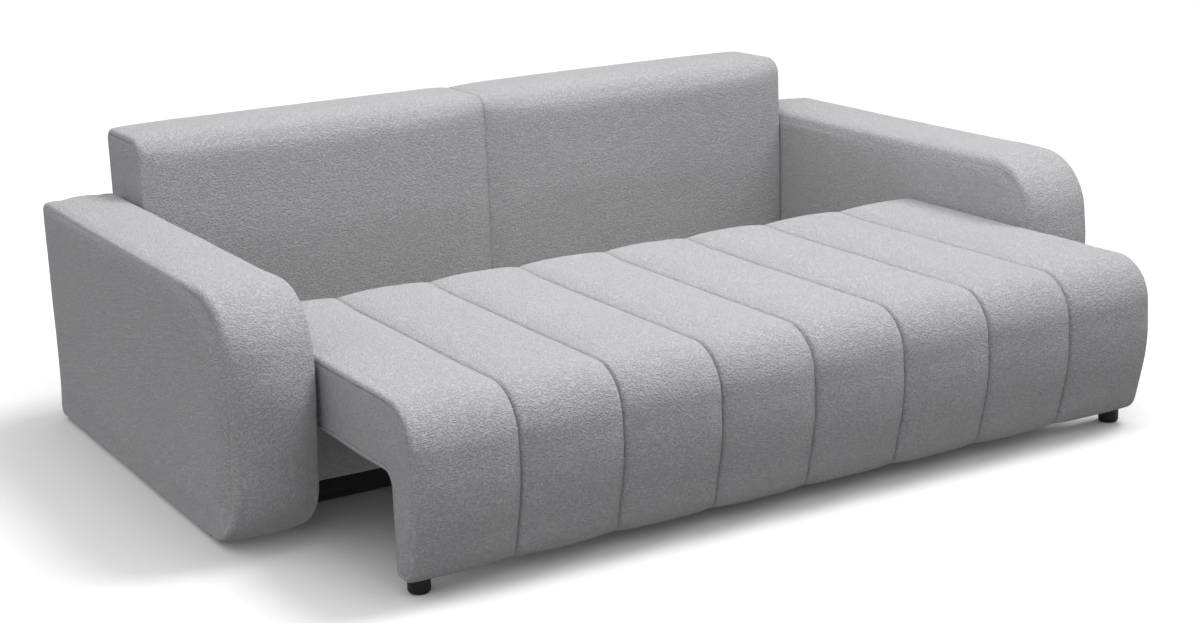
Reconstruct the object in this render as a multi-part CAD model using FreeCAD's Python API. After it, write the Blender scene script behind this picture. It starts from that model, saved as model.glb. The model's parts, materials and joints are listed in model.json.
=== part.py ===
import FreeCAD, Part
import math
import os
from FreeCAD import Vector

# Pull-out sofa bed: two armrests, an upright back block and a channelled seat on runners.
# Millimetres. X runs along the sofa, the front is -Y, the floor is Z = 0.
# It is modelled as photographed: seat pulled out, back block standing.

# Driving sizes of the sofa
CLEAR_WIDTH = 2012.0          # between the two armrests
ARM_WIDTH = 214.0
ARM_DEPTH = 1310.0
ARM_HEIGHT = 588.0
BACK_TOP = 750.0              # top of the back block above the floor
BACK_THICKNESS = 264.0
BACK_OVERHANG = 78.0          # back block stands out behind the armrests
SEAT_TOP = 431.0
SEAT_DEPTH = 976.0
SLAB_UNDERSIDE = 256.0
SLAB_LEFT_IN = 272.0          # slab that stays over the base box when pulled out
BOX_TOP = 155.0               # ledge that the back block stands on

STRAIGHT_SHARE = 0.98         # most of a side that its two rounded corners may take

# Named clearances
SEAT_SIDE_GAP = 6.0           # seat to armrest
BACK_SIDE_GAP = 3.0           # back block to armrest
CLOSED_GAP = 15.0             # seat to back block with the seat pushed in
BOX_GAP = 13.0                # apron to base front with the seat pushed in
REST_GAP = 0.3                # loose piece above the face that carries it
STOP_GAP = 0.5                # roller to the rubber stop
POST_CLEARANCE = 1.0          # post inside its sleeve, each side
SLOT_CLEARANCE = 0.5          # post in the sill's slot, each side
AXLE_CLEARANCE = 0.05         # radial, roller on its axle
BOLT_CLEARANCE = 0.5          # radial, bolt in a drilled board

# Armrest form
ARM_FOOT_HEIGHT = 8.0
ARM_TOP_RADIUS = 150.0
ARM_TOE_RADIUS = 150.0
ARM_HEEL_RADIUS = 26.0
ARM_BELLY_RADIUS = 420.0
ARM_BELLY_HEIGHT = 372.0
ARM_BROW_SETBACK = 25.0
ARM_TOE_SETBACK = 42.0
ARM_SHOULDER = 12.0           # rounding between band and side panel
ARM_PAD = 32.0                # foam on top, front and rear
ARM_SIDE_PAD = 14.0
ARM_LINING = 1.5              # cloth under the sole
GABLE = 12.0                  # plywood gable thickness
BATTEN = 30.0                 # square battens inside the armrests

# Seat form
CHANNELS = 8
CHANNEL_CROWN = 13.0          # height of a channel above its seams
CHANNEL_FULLNESS = 3.6        # higher for a flatter top and steeper flanks
SIDE_CROWN = 0.75             # share of the crown left at the side panels
SEAT_BROW_RADIUS = 105.0
SEAT_REAR_RADIUS = 40.0
SEAT_BELLY_RADIUS = 420.0
SEAT_BELLY_HEIGHT = 215.0
SEAT_TOE_RADIUS = 45.0
SEAT_TOE_SETBACK = 48.0
SEAT_HEM_RADIUS = 8.0
SEAT_CORNER_RADIUS = 28.0
APRON_THICKNESS = 124.0
APRON_BOTTOM = 34.0
SEAT_SIDE_FOAM = 22.0
APRON_REAR_FOAM = 10.0

# Seat carcase
DUST_COVER = 2.0
RAIL_HEIGHT = 70.0
RAIL_WIDTH = 25.0
HEADER_WIDTH = 30.0
DECK = 9.0
CROSS_RAILS = 3
APRON_BOARD = 18.0
APRON_BOARD_BOTTOM = 45.0
SEAT_FOOT_RADIUS = 25.0
SEAT_FOOT_EDGE = 9.0
SEAT_FOOT_INSET = 40.0
FOOT_STEM_RADIUS = 5.0
FOOT_STEM_GRIP = 22.0

# Back block form
BACK_BROW_RADIUS = 48.0
BACK_NAPE_RADIUS = 36.0
BACK_HEM_RADIUS = 20.0
BACK_SHOULDER = 13.0
BACK_BELLY = 8.0
BACK_BELLY_RADIUS = 900.0
SEAM_WIDTH = 5.0
SEAM_DEPTH = 5.0
BACK_LINING = 1.5
BACK_RAIL = 30.0
BACK_RAIL_DEPTH = 150.0
BACK_STUD_DEPTH = 60.0
BACK_STUDS = 4
BACK_STUD_INSET = 40.0
BACK_PANEL = 6.0
BACK_REAR_FOAM = 24.0
BACK_TOP_FOAM = 40.0

# Base box
BOARD = 18.0
BASE_SETBACK = 8.0            # box rear inside the back block's rear face
PLINTH_HEIGHT = 55.0
PLINTH_SETBACK = 14.0
FRONT_PAD = 12.0
FRONT_PAD_RADIUS = 5.0
FRONT_TOP_GAP = 10.0          # base front below the slab
FLOOR_PANEL = 5.0
RUNNER_INSET = 30.0

# Runner rails, rollers and brackets
RAIL_DEPTH = 30.0
RAIL_GAUGE = 3.0
RAIL_LIP = 8.0
RAIL_TOP_DROP = 7.0           # rail below the ledge
ROLLER_RADIUS = 18.0
ROLLER_WIDTH = 20.0
ROLLER_PLAY = 1.7             # under the rail's upper flange
ROLLER_SETBACK = 120.0        # roller centre from the seat's rear edge
ROLLER_TREAD = 2.0
AXLE_RADIUS = 5.0
AXLE_HEAD_RADIUS = 9.0
AXLE_HEAD = 4.0
STOP_LENGTH = 12.0
BRACKET_GAUGE = 4.0
BRACKET_WIDTH = 60.0
BRACKET_TIP_RADIUS = 15.0

# Back posts, sleeves and fasteners
POST_WIDTH = 40.0
POST_GAUGE = 10.0
POST_RISE = 100.0
POST_SPACING = 1400.0
POST_PLATE = 5.0
POST_PLATE_WIDTH = 90.0
POST_PLATE_DEPTH = 60.0
SLEEVE_WALL = 3.0
SLEEVE_RISE = 125.0
BOLT_RADIUS = 4.0
BOLT_HEAD_RADIUS = 8.0
BOLT_HEAD = 5.0
NUT_FLANGE_RADIUS = 11.0
NUT_FLANGE = 2.0
NUT_BARREL = 9.0
NUT_WALL = 1.5
ARM_BOLTS = 4
ARM_BOLT_EDGE = 90.0
SCREW_RADIUS = 2.0
SCREW_HEAD_RADIUS = 4.0
SCREW_HEAD = 2.0
SCREW_LENGTH = 14.0
RAIL_SCREWS = 5
GLIDE_RADIUS = 15.0

# Levels and planes that follow from the sizes above
HALF_CLEAR = CLEAR_WIDTH / 2
HALF_TOTAL = HALF_CLEAR + ARM_WIDTH
SEAT_HALF = HALF_CLEAR - SEAT_SIDE_GAP
BACK_HALF = HALF_CLEAR - BACK_SIDE_GAP
PITCH = 2 * SEAT_HALF / CHANNELS
SEAT_TRAVEL = SEAT_DEPTH - APRON_THICKNESS - SLAB_LEFT_IN
BED_GAP = SEAT_TRAVEL + CLOSED_GAP
OPEN_DEPTH = BACK_THICKNESS + BED_GAP + SEAT_DEPTH
Y_BACK_REAR = OPEN_DEPTH / 2
Y_BACK_FRONT = Y_BACK_REAR - BACK_THICKNESS
Y_SEAT_REAR = Y_BACK_FRONT - BED_GAP
Y_SEAT_FRONT = Y_SEAT_REAR - SEAT_DEPTH
Y_ARM_REAR = Y_BACK_REAR - BACK_OVERHANG
Y_ARM_FRONT = Y_ARM_REAR - ARM_DEPTH
Y_APRON_REAR = Y_SEAT_FRONT + APRON_THICKNESS
Y_BOX_FRONT = Y_APRON_REAR + SEAT_TRAVEL + BOX_GAP
Y_BOX_REAR = Y_BACK_REAR - BASE_SETBACK
Y_BOARD_FRONT = Y_BOX_FRONT + FRONT_PAD
Y_BOARD_REAR = Y_BOARD_FRONT + BOARD
Y_ROLLER = Y_SEAT_REAR - ROLLER_SETBACK
SIDE_INNER = HALF_CLEAR - BOARD
Z_FLOOR_TOP = PLINTH_HEIGHT + FLOOR_PANEL
Z_SILL = BOX_TOP - BOARD
Z_RAIL_TOP = BOX_TOP - RAIL_TOP_DROP
Z_RAIL_BOTTOM = Z_RAIL_TOP - 2 * ROLLER_RADIUS - REST_GAP - ROLLER_PLAY - 2 * RAIL_GAUGE
Z_ROLLER = Z_RAIL_BOTTOM + RAIL_GAUGE + REST_GAP + ROLLER_RADIUS
Z_FRAME = SLAB_UNDERSIDE + DUST_COVER
Z_DECK = Z_FRAME + RAIL_HEIGHT
Z_BACK = BOX_TOP + REST_GAP


def corner_wire(points, radii, x):
    """A closed outline in the YZ plane at x, each corner rounded as far as its sides allow."""
    count = len(points)
    corners = [Vector(x, y, z) for y, z in points]
    halves = []
    for i in range(count):
        u = (corners[i - 1] - corners[i]).normalize()
        v = (corners[(i + 1) % count] - corners[i]).normalize()
        halves.append(u.getAngle(v) / 2)
    reaches = [radii[i] / math.tan(halves[i]) for i in range(count)]
    fits = [1.0] * count
    for i in range(count):
        after = (i + 1) % count
        room = corners[i].distanceToPoint(corners[after]) * STRAIGHT_SHARE
        need = reaches[i] + reaches[after]
        fits[i] = min(fits[i], room / need)
        fits[after] = min(fits[after], room / need)
    starts = []
    mids = []
    ends = []
    for i in range(count):
        here = corners[i]
        u = (corners[i - 1] - here).normalize()
        v = (corners[(i + 1) % count] - here).normalize()
        radius = radii[i] * min(fits[i], 1.0)
        reach = radius / math.tan(halves[i])
        bisector = (u + v).normalize()
        centre = here + bisector * (radius / math.sin(halves[i]))
        starts.append(here + u * reach)
        ends.append(here + v * reach)
        mids.append(centre - bisector * radius)
    edges = []
    for i in range(count):
        edges.append(Part.Arc(starts[i], mids[i], ends[i]).toShape())
        edges.append(Part.makeLine(ends[i], starts[(i + 1) % count]))
    return Part.Wire(edges)


def slice_between(points, radii, x0, x1):
    """The rounded outline as a solid slice from x0 to x1."""
    face = Part.Face(corner_wire(points, radii, x0))
    return face.extrude(Vector(x1 - x0, 0, 0))


def block(x0, x1, y0, y1, z0, z1):
    """A rectangular board or bar between two corners."""
    return Part.makeBox(x1 - x0, y1 - y0, z1 - z0, Vector(x0, y0, z0))


def rod(x, y, z, radius, length, axis):
    """A round bar that starts at a point and runs along an axis."""
    return Part.makeCylinder(radius, length, Vector(x, y, z), axis)


def mirrored(shape):
    """The same piece on the other side of the sofa."""
    return shape.mirror(Vector(0, 0, 0), Vector(1, 0, 0))


def both_sides(shapes):
    """A group of pieces with their mirror images on the other side."""
    return Part.makeCompound(shapes + [mirrored(s) for s in shapes])


def spread(first, last, count):
    """Evenly spaced places from first to last."""
    return [first + (last - first) * i / (count - 1) for i in range(count)]


def fused(shapes):
    """One solid from pieces that are glued or welded together."""
    body = shapes[0].multiFuse(shapes[1:])
    return body.removeSplitter()


X_AXIS = Vector(1, 0, 0)
Y_AXIS = Vector(0, 1, 0)
Z_AXIS = Vector(0, 0, 1)
os.makedirs("parts", exist_ok=True)
pieces = {}


# Armrests: plywood gables and battens, a padded band over the top and front, flat side pads

def arm_outline(inset, sole):
    """Armrest outline moved in by an inset, with the sole at its own height."""
    points = [
        (Y_ARM_REAR - inset, sole),
        (Y_ARM_REAR - inset, ARM_HEIGHT - inset),
        (Y_ARM_FRONT + ARM_BROW_SETBACK + inset, ARM_HEIGHT - inset),
        (Y_ARM_FRONT + inset, ARM_BELLY_HEIGHT),
        (Y_ARM_FRONT + ARM_TOE_SETBACK + inset, sole),
    ]
    radii = [
        max(ARM_HEEL_RADIUS - inset, 4.0),
        max(ARM_HEEL_RADIUS - inset, 4.0),
        ARM_TOP_RADIUS - inset,
        ARM_BELLY_RADIUS - inset,
        ARM_TOE_RADIUS - inset,
    ]
    return points, radii


def armrest():
    """The right-hand armrest: band, outer pad, inner pad and wooden frame."""
    x_in = HALF_CLEAR
    x_out = HALF_TOTAL
    points, radii = arm_outline(0.0, ARM_FOOT_HEIGHT)
    body = slice_between(points, radii, x_in, x_out)
    rims = [
        edge
        for edge in body.Edges
        if edge.BoundBox.XLength < 0.01
    ]
    body = body.makeFillet(ARM_SHOULDER, rims)
    points, radii = arm_outline(ARM_SHOULDER, ARM_FOOT_HEIGHT + ARM_SHOULDER)
    inner_pad = slice_between(points, radii, x_in, x_in + ARM_SIDE_PAD)
    outer_pad = slice_between(points, radii, x_out - ARM_SIDE_PAD, x_out)
    points, radii = arm_outline(ARM_PAD, ARM_FOOT_HEIGHT)
    core_in = x_in + ARM_SIDE_PAD
    core_out = x_out - ARM_SIDE_PAD
    core = slice_between(points, radii, core_in, core_out)
    band = body.cut(core).cut(inner_pad).cut(outer_pad)
    gable_in = slice_between(points, radii, core_in, core_in + GABLE)
    gable_out = slice_between(points, radii, core_out - GABLE, core_out)
    sole = ARM_FOOT_HEIGHT + ARM_LINING
    gap_in = core_in + GABLE
    gap_out = core_out - GABLE
    under = block(gap_in, gap_out, Y_ARM_FRONT, Y_ARM_REAR, ARM_FOOT_HEIGHT, sole)
    lining = core.common(under)
    front = Y_ARM_FRONT + ARM_TOE_SETBACK + ARM_PAD + ARM_TOE_RADIUS
    rear = Y_ARM_REAR - ARM_PAD - ARM_HEEL_RADIUS
    battens = []
    for y in spread(front, rear - BATTEN, 3):
        battens.append((y, sole))
        battens.append((y, ARM_HEIGHT - ARM_PAD - BATTEN))
    battens.append((Y_ARM_FRONT + ARM_PAD + ARM_SHOULDER, ARM_BELLY_HEIGHT))
    frame = [gable_in, gable_out]
    for y, z in battens:
        frame.append(block(gap_in, gap_out, y, y + BATTEN, z, z + BATTEN))
    return band, outer_pad, inner_pad, fused(frame), lining


def arm_bolt_places():
    """Where bolts pass from the base side boards into the armrest gables."""
    z = (PLINTH_HEIGHT + Z_RAIL_BOTTOM) / 2
    first = Y_BOARD_REAR + ARM_BOLT_EDGE
    last = Y_ARM_REAR - ARM_PAD - ARM_BOLT_EDGE
    return [(y, z) for y in spread(first, last, ARM_BOLTS)]


def arm_bolt(y, z):
    """A bolt with its head inside the base box."""
    grip = BOARD + ARM_SIDE_PAD + GABLE + NUT_BARREL
    head = rod(SIDE_INNER - BOLT_HEAD, y, z, BOLT_HEAD_RADIUS, BOLT_HEAD, X_AXIS)
    shank = rod(SIDE_INNER, y, z, BOLT_RADIUS, grip, X_AXIS)
    return fused([head, shank])


def tee_nut(y, z):
    """A flanged nut set on the far face of the inner gable."""
    face = HALF_CLEAR + ARM_SIDE_PAD + GABLE
    bore = BOLT_RADIUS + AXLE_CLEARANCE
    flange = rod(face, y, z, NUT_FLANGE_RADIUS, NUT_FLANGE, X_AXIS)
    barrel = rod(face, y, z, bore + NUT_WALL, NUT_BARREL, X_AXIS)
    hole = rod(face - 1, y, z, bore, NUT_BARREL + 2, X_AXIS)
    return fused([flange, barrel]).cut(hole)


def bolt_hole(y, z):
    """The drilled way for an armrest bolt."""
    length = BOARD + ARM_SIDE_PAD + GABLE + 2
    return rod(SIDE_INNER - 1, y, z, BOLT_RADIUS + BOLT_CLEARANCE, length, X_AXIS)


band, outer_pad, inner_pad, arm_frame, arm_lining = armrest()
bolt_holes = [bolt_hole(y, z) for y, z in arm_bolt_places()]
inner_pad = inner_pad.cut(Part.makeCompound(bolt_holes))
arm_frame = arm_frame.cut(Part.makeCompound(bolt_holes))
bolts = [arm_bolt(y, z) for y, z in arm_bolt_places()]
nuts = [tee_nut(y, z) for y, z in arm_bolt_places()]
glide_x = [HALF_CLEAR + ARM_SIDE_PAD + GLIDE_RADIUS, HALF_TOTAL - ARM_SIDE_PAD - GLIDE_RADIUS]
glide_y = [
    Y_ARM_FRONT + ARM_TOE_SETBACK + ARM_PAD + ARM_TOE_RADIUS,
    Y_ARM_REAR - ARM_PAD - GLIDE_RADIUS,
]
glides = [
    rod(x, y, 0, GLIDE_RADIUS, ARM_FOOT_HEIGHT, Z_AXIS)
    for x in glide_x
    for y in glide_y
]
for side, turn in (("right", lambda s: s), ("left", mirrored)):
    pieces["armrest_band_" + side] = turn(band)
    pieces["armrest_outer_pad_" + side] = turn(outer_pad)
    pieces["armrest_inner_pad_" + side] = turn(inner_pad)
    pieces["armrest_frame_" + side] = turn(arm_frame)
pieces["armrest_linings"] = both_sides([arm_lining])
pieces["armrest_bolts"] = both_sides(bolts)
pieces["armrest_tee_nuts"] = both_sides(nuts)
pieces["armrest_glides"] = both_sides(glides)


# Base box between the armrests: an open bedding box with a ledge, a sill and a plinth

side_board = block(SIDE_INNER, HALF_CLEAR, Y_BOARD_REAR, Y_BOX_REAR, PLINTH_HEIGHT, BOX_TOP)
side_board = side_board.cut(Part.makeCompound(bolt_holes))
pieces["base_side_board_right"] = side_board
pieces["base_side_board_left"] = mirrored(side_board)
Z_FRONT_TOP = SLAB_UNDERSIDE - FRONT_TOP_GAP
z_board_top = Z_FRONT_TOP - FRONT_PAD / 2
front_board = block(
    -HALF_CLEAR, HALF_CLEAR, Y_BOARD_FRONT, Y_BOARD_REAR, PLINTH_HEIGHT, z_board_top
)
pieces["base_front_board"] = front_board
front_pad = slice_between(
    [
        (Y_BOX_FRONT, PLINTH_HEIGHT),
        (Y_BOARD_REAR, PLINTH_HEIGHT),
        (Y_BOARD_REAR, Z_FRONT_TOP),
        (Y_BOX_FRONT, Z_FRONT_TOP),
    ],
    [FRONT_PAD_RADIUS, FRONT_PAD / 4, FRONT_PAD / 4, FRONT_PAD_RADIUS],
    -HALF_CLEAR,
    HALF_CLEAR,
)
pieces["base_front_upholstery"] = front_pad.cut(front_board)
rear_board = block(-SIDE_INNER, SIDE_INNER, Y_BOX_REAR - BOARD, Y_BOX_REAR, PLINTH_HEIGHT, Z_SILL)
pieces["base_rear_board"] = rear_board
Y_INNER_BOARD = Y_BACK_FRONT
inner_board = block(
    -SIDE_INNER, SIDE_INNER, Y_INNER_BOARD, Y_INNER_BOARD + BOARD, Z_FLOOR_TOP, Z_SILL
)
pieces["base_inner_board"] = inner_board
pieces["base_floor_panel"] = block(
    -SIDE_INNER, SIDE_INNER, Y_BOARD_REAR, Y_BOX_REAR - BOARD, PLINTH_HEIGHT, Z_FLOOR_TOP
)
pieces["base_centre_board"] = block(
    -BOARD / 2, BOARD / 2, Y_BOARD_REAR, Y_INNER_BOARD, Z_FLOOR_TOP, BOX_TOP
)
plinth_front = Y_BOX_FRONT + PLINTH_SETBACK
plinth_rear = Y_BOX_REAR - PLINTH_SETBACK
PLINTH_HALF = HALF_CLEAR - RUNNER_INSET
pieces["plinth_front"] = block(
    -PLINTH_HALF, PLINTH_HALF, plinth_front, plinth_front + BOARD, 0, PLINTH_HEIGHT
)
pieces["plinth_rear"] = block(
    -PLINTH_HALF, PLINTH_HALF, plinth_rear - BOARD, plinth_rear, 0, PLINTH_HEIGHT
)
runners = [
    block(x - BOARD / 2, x + BOARD / 2, plinth_front + BOARD, plinth_rear - BOARD, 0, PLINTH_HEIGHT)
    for x in (-PLINTH_HALF + BOARD / 2, 0.0, PLINTH_HALF - BOARD / 2)
]
pieces["plinth_runners"] = Part.makeCompound(runners)

# Sill with two steel posts that the back block is lifted off
post_x = [-POST_SPACING / 2, POST_SPACING / 2]
Y_POST = (Y_BACK_FRONT + Y_BACK_REAR) / 2
sill = block(-SIDE_INNER, SIDE_INNER, Y_INNER_BOARD, Y_BOX_REAR, Z_SILL, BOX_TOP)
posts = []
post_screws = []
for x in post_x:
    half_w = POST_WIDTH / 2
    half_g = POST_GAUGE / 2
    z_foot = Z_SILL - POST_PLATE
    z_tip = BOX_TOP + POST_RISE
    bar = block(x - half_w, x + half_w, Y_POST - half_g, Y_POST + half_g, z_foot, z_tip)
    tips = [e for e in bar.Edges if e.BoundBox.ZMin > BOX_TOP and e.BoundBox.XLength < 0.01]
    bar = bar.makeFillet(POST_GAUGE, tips)
    plate = block(
        x - POST_PLATE_WIDTH / 2,
        x + POST_PLATE_WIDTH / 2,
        Y_POST - POST_PLATE_DEPTH / 2,
        Y_POST + POST_PLATE_DEPTH / 2,
        Z_SILL - POST_PLATE,
        Z_SILL,
    )
    posts.append(fused([bar, plate]))
    slot = block(
        x - half_w - SLOT_CLEARANCE,
        x + half_w + SLOT_CLEARANCE,
        Y_POST - half_g - SLOT_CLEARANCE,
        Y_POST + half_g + SLOT_CLEARANCE,
        Z_SILL - 1,
        BOX_TOP + 1,
    )
    sill = sill.cut(slot)
    for dx in (-1, 1):
        for dy in (-1, 1):
            sx = x + dx * (POST_PLATE_WIDTH / 2 - 2 * SCREW_HEAD_RADIUS)
            sy = Y_POST + dy * (POST_PLATE_DEPTH / 2 - 2 * SCREW_HEAD_RADIUS)
            low = Z_SILL - POST_PLATE
            head = rod(sx, sy, low - SCREW_HEAD, SCREW_HEAD_RADIUS, SCREW_HEAD, Z_AXIS)
            shank = rod(sx, sy, low, SCREW_RADIUS, POST_PLATE + SCREW_LENGTH, Z_AXIS)
            post_screws.append(fused([head, shank]))
screws_cut = Part.makeCompound(post_screws)
pieces["backrest_sill"] = sill.cut(screws_cut)
pieces["backrest_post_left"] = posts[0].cut(screws_cut)
pieces["backrest_post_right"] = posts[1].cut(screws_cut)
pieces["backrest_post_screws"] = screws_cut


# Runner rails: rolled C sections on the side boards, with rubber stops and screws

def rail_section(y):
    """The C section of a rail, open towards the middle of the sofa."""
    out = SIDE_INNER
    tip = SIDE_INNER - RAIL_DEPTH
    low = Z_RAIL_BOTTOM
    top = Z_RAIL_TOP
    g = RAIL_GAUGE
    corners = [
        (out, low),
        (out, top),
        (tip, top),
        (tip, top - g - RAIL_LIP),
        (tip + g, top - g - RAIL_LIP),
        (tip + g, top - g),
        (out - g, top - g),
        (out - g, low + g),
        (tip + g, low + g),
        (tip + g, low + g + RAIL_LIP),
        (tip, low + g + RAIL_LIP),
        (tip, low),
    ]
    ring = [Vector(x, y, z) for x, z in corners]
    return Part.Face(Part.makePolygon(ring + ring[:1]))


y_stop_front = Y_ROLLER - ROLLER_RADIUS - STOP_GAP
y_stop_rear = Y_ROLLER + SEAT_TRAVEL + ROLLER_RADIUS + STOP_GAP
Y_RAIL_FRONT = Y_BOARD_REAR + REST_GAP
Y_RAIL_REAR = y_stop_rear + STOP_LENGTH
rail = rail_section(Y_RAIL_FRONT).extrude(Vector(0, Y_RAIL_REAR - Y_RAIL_FRONT, 0))
rail_screws = []
screw_margin = BRACKET_WIDTH / 2
Z_SCREW = (Z_RAIL_BOTTOM + Z_RAIL_TOP) / 2
for y in spread(Y_RAIL_FRONT + screw_margin, Y_RAIL_REAR - screw_margin, RAIL_SCREWS):
    face = SIDE_INNER - RAIL_GAUGE
    head = rod(face - SCREW_HEAD / 2, y, Z_SCREW, SCREW_HEAD_RADIUS, SCREW_HEAD / 2, X_AXIS)
    shank = rod(face, y, Z_SCREW, SCREW_RADIUS, SCREW_LENGTH, X_AXIS)
    rail_screws.append(fused([head, shank]))
rail_screws = Part.makeCompound(rail_screws)
rail = rail.cut(rail_screws)
stops = []
for y in (y_stop_front - STOP_LENGTH, y_stop_rear):
    stops.append(
        block(
            SIDE_INNER - RAIL_DEPTH + RAIL_GAUGE,
            SIDE_INNER - RAIL_GAUGE,
            y,
            y + STOP_LENGTH,
            Z_RAIL_BOTTOM + RAIL_GAUGE,
            Z_RAIL_TOP - RAIL_GAUGE,
        )
    )
stops = [s.cut(rail_screws) for s in stops]
pieces["slide_rail_right"] = rail
pieces["slide_rail_left"] = mirrored(rail)
pieces["rail_stops"] = both_sides(stops)
pieces["rail_screws"] = both_sides(rail_screws.Solids)
for side in ("left", "right"):
    name = "base_side_board_" + side
    pieces[name] = pieces[name].cut(pieces["rail_screws"])


# Back block: foam and fabric over a wooden frame, with two sleeves over the posts

def back_outline(inset):
    """Back block outline with a gently bellied front."""
    mid = (Z_BACK + BACK_TOP) / 2
    low = Z_BACK + BACK_LINING
    points = [
        (Y_BACK_REAR - inset, low + inset),
        (Y_BACK_REAR - inset, BACK_TOP - inset),
        (Y_BACK_FRONT + BACK_BELLY + inset, BACK_TOP - inset),
        (Y_BACK_FRONT + inset, mid),
        (Y_BACK_FRONT + BACK_BELLY + inset, low + inset),
    ]
    radii = [BACK_HEM_RADIUS, BACK_NAPE_RADIUS, BACK_BROW_RADIUS, BACK_BELLY_RADIUS, BACK_HEM_RADIUS]
    return points, [r - inset for r in radii]


points, radii = back_outline(0.0)
back_body = slice_between(points, radii, -BACK_HALF, BACK_HALF)
rims = [edge for edge in back_body.Edges if edge.BoundBox.XLength < 0.01]
back_body = back_body.makeFillet(BACK_SHOULDER, rims)
ring = slice_between(points, radii, -SEAM_WIDTH / 2, SEAM_WIDTH / 2)
points, radii = back_outline(SEAM_DEPTH)
ring = ring.cut(slice_between(points, radii, -SEAM_WIDTH, SEAM_WIDTH))
back_body = back_body.cut(ring)
frame_half = BACK_HALF - BACK_STUD_INSET
low = Z_BACK + BACK_LINING
y_frame = Y_BACK_REAR - BACK_REAR_FOAM - BACK_PANEL
bottom_rail = block(
    -frame_half, frame_half, y_frame - BACK_RAIL_DEPTH, y_frame, low, low + BACK_RAIL
)
z_top_rail = BACK_TOP - BACK_TOP_FOAM - BACK_RAIL
top_rail = block(
    -frame_half, frame_half, y_frame - BACK_STUD_DEPTH, y_frame, z_top_rail, z_top_rail + BACK_RAIL
)
studs = [
    block(x, x + BACK_RAIL, y_frame - BACK_STUD_DEPTH, y_frame, low + BACK_RAIL, z_top_rail)
    for x in spread(-frame_half, frame_half - BACK_RAIL, BACK_STUDS)
]
back_panel = block(
    -frame_half, frame_half, y_frame, y_frame + BACK_PANEL, low, z_top_rail + BACK_RAIL
)
sleeves = []
sleeve_fills = []
for x in post_x:
    half_w = POST_WIDTH / 2 + POST_CLEARANCE
    half_g = POST_GAUGE / 2 + POST_CLEARANCE
    wall = SLEEVE_WALL
    z_cap = Z_BACK + SLEEVE_RISE
    outer = block(
        x - half_w - wall,
        x + half_w + wall,
        Y_POST - half_g - wall,
        Y_POST + half_g + wall,
        Z_BACK,
        z_cap,
    )
    bore = block(
        x - half_w, x + half_w, Y_POST - half_g, Y_POST + half_g, Z_BACK - 1, z_cap - wall
    )
    sleeves.append(outer.cut(bore))
    sleeve_fills.append(outer)
fills = Part.makeCompound(sleeve_fills)
lining = block(
    -frame_half,
    frame_half,
    Y_BACK_FRONT + BACK_STUD_INSET,
    Y_BACK_REAR - BACK_STUD_INSET,
    Z_BACK,
    low,
)
bottom_rail = bottom_rail.cut(fills)
carcase = [bottom_rail, top_rail, back_panel] + studs
pieces["backrest_cushion"] = back_body.cut(Part.makeCompound(carcase)).cut(fills)
pieces["backrest_bottom_rail"] = bottom_rail
pieces["backrest_top_rail"] = top_rail
pieces["backrest_studs"] = Part.makeCompound(studs)
pieces["backrest_rear_panel"] = back_panel
pieces["backrest_bottom_lining"] = lining.cut(fills)
pieces["backrest_sleeves"] = Part.makeCompound(sleeves)


# Seat cushion: an L of eight padded channels that run over the top and down the front

def seat_section(x, rise):
    """The seat's outline at x, its top, front and rear standing out by a rise."""
    sink = CHANNEL_CROWN - rise
    top = SEAT_TOP - sink
    front = Y_SEAT_FRONT + sink
    rear = Y_SEAT_REAR - sink
    toe = APRON_BOTTOM
    points = [
        (rear, SLAB_UNDERSIDE),
        (rear, top),
        (front + SEAT_HEM_RADIUS, top),
        (front, SEAT_BELLY_HEIGHT),
        (front + SEAT_TOE_SETBACK, toe),
        (Y_APRON_REAR, toe),
        (Y_APRON_REAR, SLAB_UNDERSIDE),
    ]
    radii = [
        SEAT_HEM_RADIUS,
        SEAT_REAR_RADIUS,
        SEAT_BROW_RADIUS,
        SEAT_BELLY_RADIUS,
        SEAT_TOE_RADIUS,
        SEAT_HEM_RADIUS,
        SEAT_CORNER_RADIUS,
    ]
    return corner_wire(points, radii, x)


def crown(share):
    """How far a channel stands out at a share of its width."""
    return CHANNEL_CROWN * (1 - abs(2 * share - 1) ** CHANNEL_FULLNESS)


CHANNEL_STEPS = (0.0, 0.04, 0.13, 0.30, 0.5, 0.70, 0.87, 0.96, 1.0)
channels = []
for i in range(CHANNELS):
    x0 = -SEAT_HALF + i * PITCH
    wires = []
    for share in CHANNEL_STEPS:
        rise = crown(share)
        outward = share if i == CHANNELS - 1 else 1 - share
        at_side = i in (0, CHANNELS - 1) and outward > 0.5
        if at_side:
            rise = max(rise, CHANNEL_CROWN * SIDE_CROWN)
        wires.append(seat_section(x0 + share * PITCH, rise))
    channels.append(Part.makeLoft(wires, True, False))
cushion = channels[0].multiFuse(channels[1:])

x_frame = SEAT_HALF - SEAT_SIDE_FOAM
y_rear_in = Y_SEAT_REAR - CHANNEL_CROWN - SEAT_SIDE_FOAM
y_header_rear = Y_APRON_REAR - APRON_REAR_FOAM
y_header_front = y_header_rear - HEADER_WIDTH
y_board_front = y_header_front - APRON_BOARD
pocket = block(-x_frame, x_frame, y_header_front, y_rear_in, SLAB_UNDERSIDE - 1, Z_DECK + DECK)
side_rail = block(x_frame - RAIL_WIDTH, x_frame, y_header_rear, y_rear_in, Z_FRAME, Z_DECK)
header = block(-x_frame, x_frame, y_header_front, y_header_rear, Z_FRAME, Z_DECK)
x_rail_in = x_frame - RAIL_WIDTH
rear_rail = block(-x_rail_in, x_rail_in, y_rear_in - RAIL_WIDTH, y_rear_in, Z_FRAME, Z_DECK)
cross_rails = []
half_rail = RAIL_WIDTH / 2
y_cross_rear = y_rear_in - RAIL_WIDTH
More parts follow.
